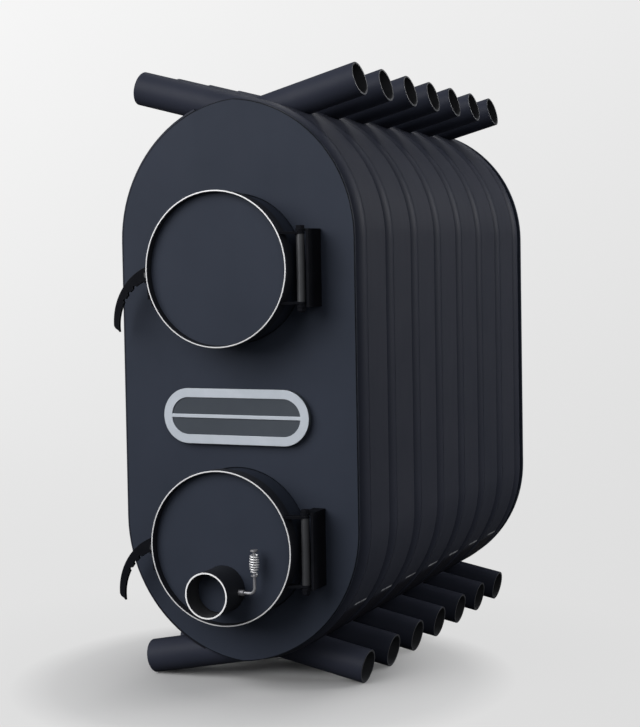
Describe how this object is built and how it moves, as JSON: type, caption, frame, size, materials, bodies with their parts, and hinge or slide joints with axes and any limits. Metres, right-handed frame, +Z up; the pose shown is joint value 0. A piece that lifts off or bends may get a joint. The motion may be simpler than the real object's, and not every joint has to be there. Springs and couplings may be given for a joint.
{
  "type": "convection wood stove",
  "caption": "Free-standing wood stove with a jacket of bent convection tubes, two round hinged doors with claw latches, a damped air inlet and a rear flue outlet.",
  "frame": {"origin": "on the floor, under the centre of the whole stove with its flue outlet and inlet stub", "axes": "+Z up, +Y towards the flue outlet at the rear, +X to the right seen from the front"},
  "size_m": [0.438, 1.1632, 1.0323],
  "materials": {
    "body_paint": "matt, heat-proof blue-black",
    "bright_steel": "turned bright edges, painted flanks",
    "fastener_steel": "satin",
    "shield_steel": "heat-tinted",
    "latch_steel": "satin dark paint",
    "sooty_steel": "matt, sooty",
    "cast_grate": "rough cast",
    "badge_pan": "matt",
    "seal_rope": "braided glass fibre"
  },
  "bodies": {
    "stove": {"front_panel": "body_paint", "rear_panel": "body_paint", "right_tube_1": "body_paint", "right_tube_2": "body_paint", "right_tube_3": "body_paint", "right_tube_4": "body_paint", "right_tube_5": "body_paint", "right_tube_6": "body_paint", "right_tube_7": "body_paint", "right_tube_8": "body_paint", "left_tube_1": "body_paint", "left_tube_2": "body_paint", "left_tube_3": "body_paint", "left_tube_4": "body_paint", "left_tube_5": "body_paint", "left_tube_6": "body_paint", "left_tube_7": "body_paint", "right_strips": "body_paint", "left_strips": "body_paint", "upper_collar": "body_paint", "upper_hinge_bracket": "latch_steel", "lower_collar": "body_paint", "lower_hinge_bracket": "latch_steel", "hinge_bolts": "fastener_steel", "latch_keepers": "latch_steel", "badge_pan": "badge_pan", "badge_band_plate": "bright_steel", "grate": "cast_grate", "grate_ledgers": "sooty_steel", "baffle": "sooty_steel", "air_injectors": "sooty_steel", "flue_outlet": "body_paint"},
    "upper_door": {"upper_hoop": "bright_steel", "upper_door_plate": "body_paint", "upper_seal_rope": "seal_rope", "upper_heat_shield": "shield_steel", "upper_shield_studs": "fastener_steel", "upper_hinge_ears": "latch_steel", "upper_hinge_barrel": "fastener_steel", "upper_latch_lug": "latch_steel", "upper_latch_bolt": "fastener_steel"},
    "upper_latch": {"upper_latch_claw": "latch_steel"},
    "lower_door": {"lower_hoop": "bright_steel", "lower_door_plate": "body_paint", "lower_seal_rope": "seal_rope", "lower_heat_shield": "shield_steel", "lower_shield_studs": "fastener_steel", "lower_hinge_ears": "latch_steel", "lower_hinge_barrel": "fastener_steel", "lower_latch_lug": "latch_steel", "lower_latch_bolt": "fastener_steel", "inlet_stub": "body_paint", "damper_bushing": "bright_steel"},
    "lower_latch": {"lower_latch_claw": "latch_steel"},
    "air_damper": {"air_disc": "sooty_steel", "air_rod": "fastener_steel", "coil_grip": "bright_steel"},
    "flue_damper": {"flue_disc": "sooty_steel", "flue_rod": "fastener_steel"}
  },
  "joints": [
    {"name": "upper_door_hinge", "type": "hinge", "parent": "stove", "child": "upper_door", "pos_m": [0.142, -0.5071, 0.6956], "axis": [0, 0, 1], "range_deg": [0, 100]},
    {"name": "upper_latch_pivot", "type": "hinge", "parent": "upper_door", "child": "upper_latch", "pos_m": [-0.133, -0.5, 0.6876], "axis": [0, 1, 0], "range_deg": [-14, 60]},
    {"name": "lower_door_hinge", "type": "hinge", "parent": "stove", "child": "lower_door", "pos_m": [0.142, -0.5071, 0.2436], "axis": [0, 0, 1], "range_deg": [0, 100]},
    {"name": "lower_latch_pivot", "type": "hinge", "parent": "lower_door", "child": "lower_latch", "pos_m": [-0.133, -0.5, 0.2356], "axis": [0, 1, 0], "range_deg": [-14, 60]},
    {"name": "air_damper_turn", "type": "hinge", "parent": "lower_door", "child": "air_damper", "pos_m": [0, -0.539, 0.1766], "axis": [1, 0, 0], "range_deg": [0, 90]},
    {"name": "flue_damper_turn", "type": "hinge", "parent": "stove", "child": "flue_damper", "pos_m": [0, 0.4766, 0.8086], "axis": [-1, 0, 0], "range_deg": [0, 85]}
  ]
}
